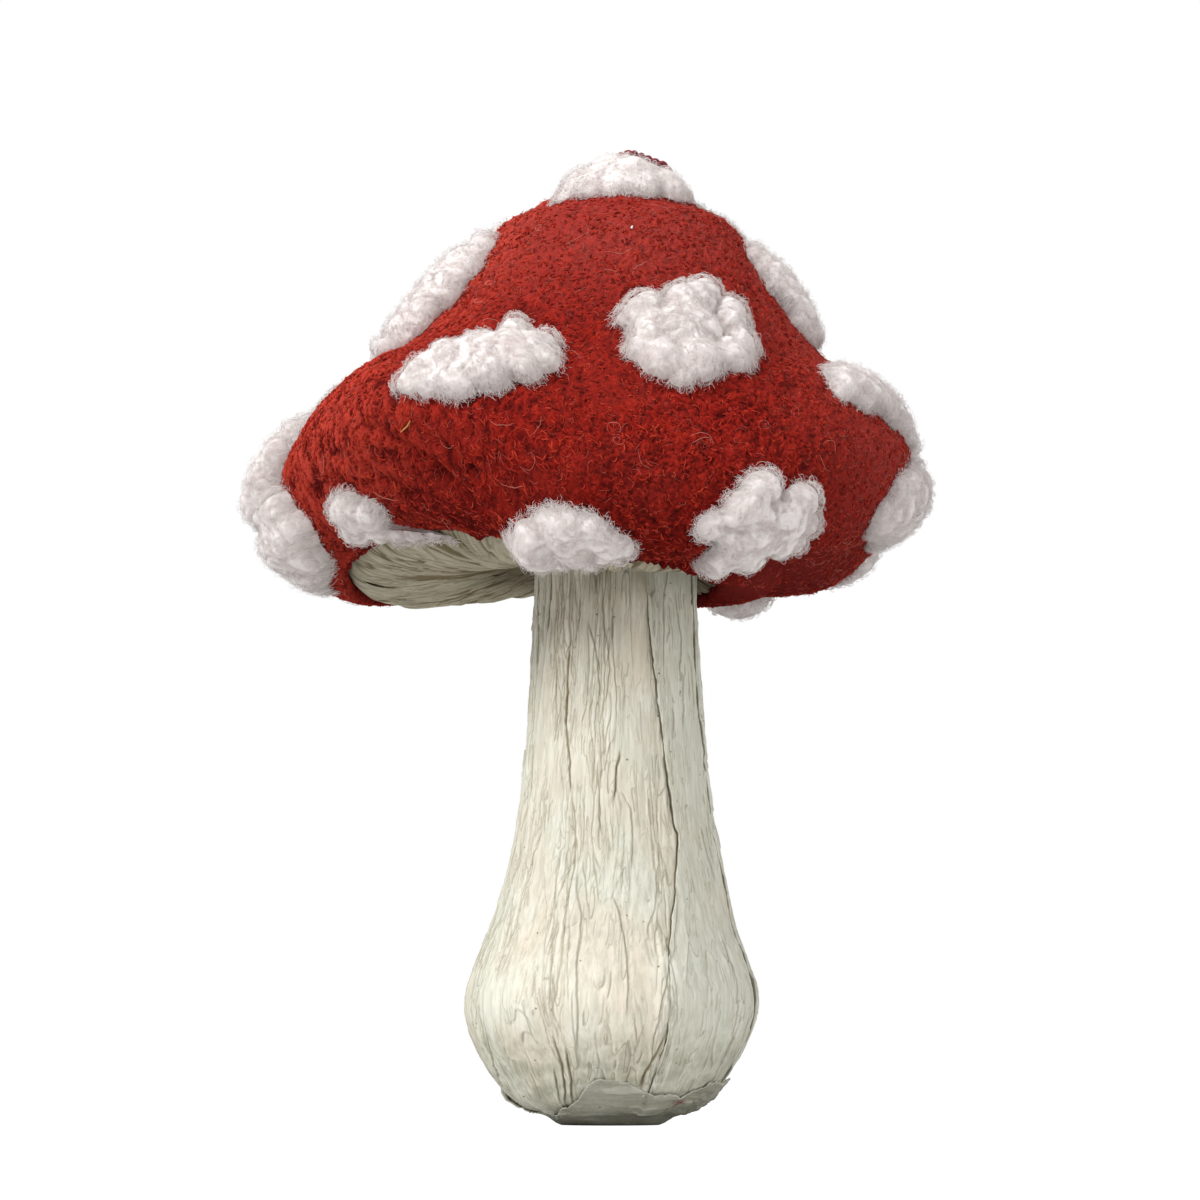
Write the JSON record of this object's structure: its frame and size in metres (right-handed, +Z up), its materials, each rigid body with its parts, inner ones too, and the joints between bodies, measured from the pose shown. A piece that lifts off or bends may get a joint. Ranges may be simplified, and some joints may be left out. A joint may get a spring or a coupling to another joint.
{
  "type": "mushroom ornament",
  "caption": "Free-standing decorative mushroom with a red felted wool cap, white wool tufts and a pale bark-wrapped foam stem.",
  "frame": {"origin": "centre of the flat foot that the ornament stands on", "axes": "+Z up along the stem, -Y towards the viewer of the picture"},
  "size_m": [0.1567, 0.1463, 0.2217],
  "materials": {
    "foam": "white expanded foam, hidden",
    "peg_wood": "plain dowel, hidden",
    "glue": "set hot glue, hidden",
    "bark": "thin bark sheet, off-white, wrinkled along the stem",
    "shaded_bark": "thin bark sheet, grey cream, pleated and torn at the edges",
    "red_felt": "boiled wool, nubby, with loose fibres",
    "maroon_yarn": "two-ply twisted yarn",
    "white_wool": "loose wool, fluffy"
  },
  "bodies": {
    "root": {"stem_foam_core": "foam", "cap_foam_core": "foam", "neck_peg": "peg_wood", "neck_glue": "glue", "foot_sheet": "shaded_bark", "stem_sheet_front": "bark", "stem_sheet_front_right": "bark", "stem_sheet_right": "bark", "stem_sheet_back_right": "bark", "stem_sheet_back": "bark", "stem_sheet_left": "bark", "lining_sheet_1": "shaded_bark", "lining_sheet_2": "shaded_bark", "lining_sheet_3": "shaded_bark", "lining_sheet_4": "shaded_bark", "wool_cover": "red_felt", "crown_cord": "maroon_yarn", "wool_tuft_crown": "white_wool", "wool_tuft_upper_left": "white_wool", "wool_tuft_middle_left": "white_wool", "wool_tuft_centre_right": "white_wool", "wool_tuft_upper_right": "white_wool", "wool_tuft_right": "white_wool", "wool_tuft_rim_right": "white_wool", "wool_tuft_rim_front_right": "white_wool", "wool_tuft_rim_front": "white_wool", "wool_tuft_rim_front_left": "white_wool", "wool_tuft_rim_left": "white_wool", "wool_tuft_left": "white_wool", "wool_tuft_middle_far_left": "white_wool", "wool_tuft_upper_far_right": "white_wool", "wool_tuft_rim_back_right": "white_wool", "wool_tuft_rim_back": "white_wool", "wool_tuft_rim_back_left": "white_wool", "wool_tuft_rim_far_left": "white_wool", "wool_tuft_middle_back_right": "white_wool", "wool_tuft_middle_back": "white_wool", "wool_tuft_middle_back_left": "white_wool", "wool_tuft_middle_left_back": "white_wool", "wool_tuft_left_back": "white_wool", "wool_tuft_upper_back_right": "white_wool", "wool_tuft_upper_back": "white_wool", "wool_tuft_upper_left_back": "white_wool"}
  },
  "joints": []
}
